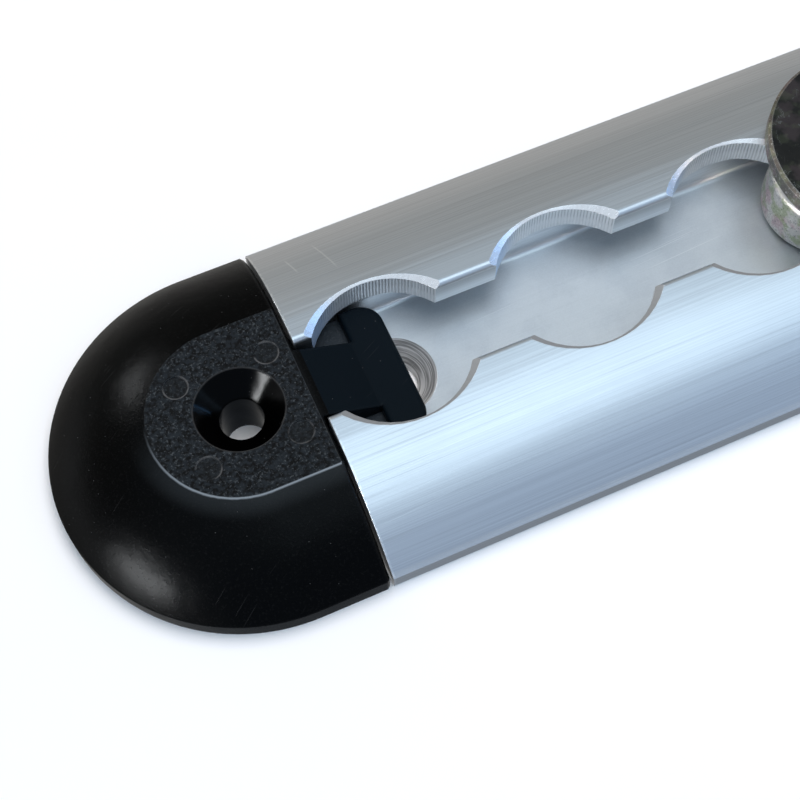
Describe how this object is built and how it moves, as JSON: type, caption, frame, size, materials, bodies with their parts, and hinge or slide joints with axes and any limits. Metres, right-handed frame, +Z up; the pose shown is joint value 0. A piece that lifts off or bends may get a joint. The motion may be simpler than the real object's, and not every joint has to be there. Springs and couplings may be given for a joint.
{
  "type": "tie-down track rail",
  "caption": "Low domed aluminium tie-down track with a scalloped T-slot, moulded round end caps and a threaded stud fitting that slides in the slot and is clamped by a round disc.",
  "frame": {"origin": "on the underside, midway along the rail and between its sides", "axes": "+X along the rail towards the cap that is farther from the stud fitting, +Y across the rail, +Z up out of the slot"},
  "size_m": [0.3698, 0.05, 0.04],
  "materials": {
    "rail": "mill finish, drawn lengthwise lines",
    "end_cap_left": "black, satin, fine grain on the flat",
    "end_cap_right": "black, satin, fine grain on the flat",
    "track_stud": "zinc plated, iridescent passivation",
    "clamp_disc": "zinc plated, iridescent passivation, scratched",
    "lock_nut": "zinc plated, iridescent passivation"
  },
  "bodies": {
    "base": {"rail": "rail", "end_cap_left": "end_cap_left", "end_cap_right": "end_cap_right"},
    "fitting": {"track_stud": "track_stud"},
    "disc": {"clamp_disc": "clamp_disc"},
    "nut": {"lock_nut": "lock_nut"}
  },
  "joints": [
    {"name": "stud_slide", "type": "slide", "parent": "base", "child": "fitting", "axis": [1, 0, 0], "range_m": [-0.0508, 0.2032]},
    {"name": "disc_travel", "type": "slide", "parent": "fitting", "child": "disc", "axis": [0, 0, 1], "range_m": [-0.0002, 0.0036]},
    {"name": "nut_travel", "type": "slide", "parent": "fitting", "child": "nut", "axis": [0, 0, 1], "range_m": [-0.0002, 0.0135]}
  ]
}
